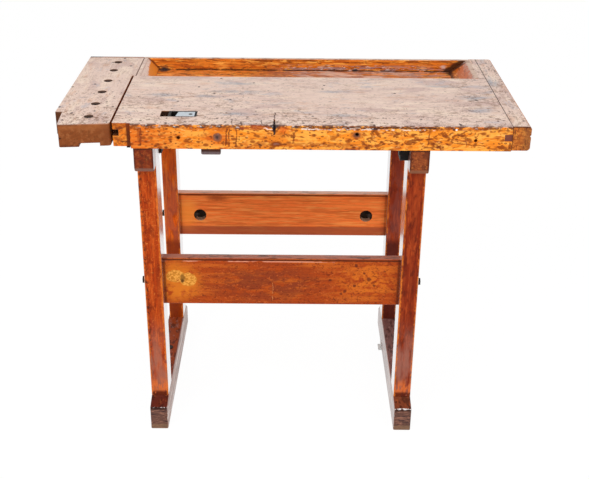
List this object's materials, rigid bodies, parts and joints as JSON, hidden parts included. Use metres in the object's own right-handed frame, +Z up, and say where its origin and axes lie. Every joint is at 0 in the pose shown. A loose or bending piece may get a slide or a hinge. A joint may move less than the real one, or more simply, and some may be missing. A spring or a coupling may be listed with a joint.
{
  "type": "woodworking bench",
  "caption": "Small timber workbench on sled-footed trestles, with a rear tool tray, a flush bench stop and a full-width end vise with dog holes.",
  "frame": {"origin": "on the floor, below the middle of the whole bench with its vise closed", "axes": "+X to the right along the bench, +Y from the apron to the tool tray, +Z up"},
  "size_m": [1.126, 0.5554, 0.838],
  "materials": {
    "maple_top": "worn, pale from use, with bluish stains and pits",
    "maple_apron": "figured orange maple, worn along the top edge",
    "maple_edge": "orange brown, dark end grain",
    "maple_jaw": "brown end grain at the front, pale worn top",
    "plug_wood": "darker plug, end grain",
    "tray_wood": "orange varnish, worn and stained",
    "leg_wood": "red-brown varnish with worn orange edges",
    "foot_wood": "dark brown, dirty, worn",
    "rail_wood": "red-brown varnish",
    "black_iron": "matt black",
    "dark_steel": "dull, dark",
    "bright_steel": "oiled, turned",
    "pale_steel": "worn, bluish"
  },
  "bodies": {
    "bench": {"left_end_cap": "maple_edge", "right_end_cap": "maple_edge", "front_apron": "maple_apron", "top_slab": "maple_top", "apron_plug": "plug_wood", "tray_floor": "tray_wood", "tray_rear_rail": "tray_wood", "tray_right_ramp": "tray_wood", "left_front_leg": "leg_wood", "right_front_leg": "leg_wood", "left_rear_leg": "leg_wood", "right_rear_leg": "leg_wood", "left_sled_foot": "foot_wood", "right_sled_foot": "foot_wood", "left_trestle_head": "foot_wood", "right_trestle_head": "foot_wood", "front_stretcher": "rail_wood", "rear_stretcher": "rail_wood", "nut_block": "foot_wood", "left_front_bracket": "black_iron", "right_front_bracket": "black_iron", "left_rear_bracket": "black_iron", "right_rear_bracket": "black_iron", "bracket_screws": "dark_steel", "flange_screws": "dark_steel", "floor_bolt": "dark_steel", "floor_clip": "pale_steel", "stretcher_bolts": "black_iron", "stretcher_washers": "black_iron", "stretcher_nuts": "black_iron", "front_guide_flange": "black_iron", "rear_guide_flange": "black_iron", "vise_nut": "black_iron", "stop_frame": "black_iron", "stop_pin": "dark_steel", "stop_wood_screw": "dark_steel"},
    "jaw": {"vise_jaw": "maple_jaw", "vise_yoke": "rail_wood", "yoke_screws": "dark_steel", "front_guide_bar": "bright_steel", "rear_guide_bar": "bright_steel"},
    "screw": {"vise_screw": "bright_steel", "vise_hub": "black_iron", "thrust_washer": "dark_steel", "screw_collar": "dark_steel"},
    "handle": {"handle_bar": "bright_steel", "handle_knobs": "dark_steel"},
    "stop_plate_body": {"stop_plate": "pale_steel"},
    "stop_screw_body": {"stop_set_screw": "dark_steel"}
  },
  "joints": [
    {"name": "jaw_slide", "type": "slide", "parent": "bench", "child": "jaw", "axis": [-1, 0, 0], "range_m": [0, 0.13]},
    {"name": "screw_spin", "type": "hinge", "parent": "jaw", "child": "screw", "pos_m": [-0.54, 0, 0.762], "axis": [-1, 0, 0], "range_deg": [0, 7800.01]},
    {"name": "handle_slide", "type": "slide", "parent": "screw", "child": "handle", "axis": [0, -1, 0], "range_m": [0, 0.189]},
    {"name": "stop_tilt", "type": "hinge", "parent": "bench", "child": "stop_plate_body", "pos_m": [-0.2035, -0.1975, 0.832], "axis": [0, 1, 0], "range_deg": [0, 18]},
    {"name": "stop_screw_spin", "type": "hinge", "parent": "stop_plate_body", "child": "stop_screw_body", "pos_m": [-0.211, -0.1975, 0.832], "axis": [0, 0, 1], "range_deg": [0, 900]}
  ],
  "couplings": [
    {"joint": "screw_spin", "follows": "jaw_slide", "rad_per_m": 1047.2},
    {"joint": "stop_screw_spin", "follows": "stop_tilt", "ratio": 47.12}
  ]
}
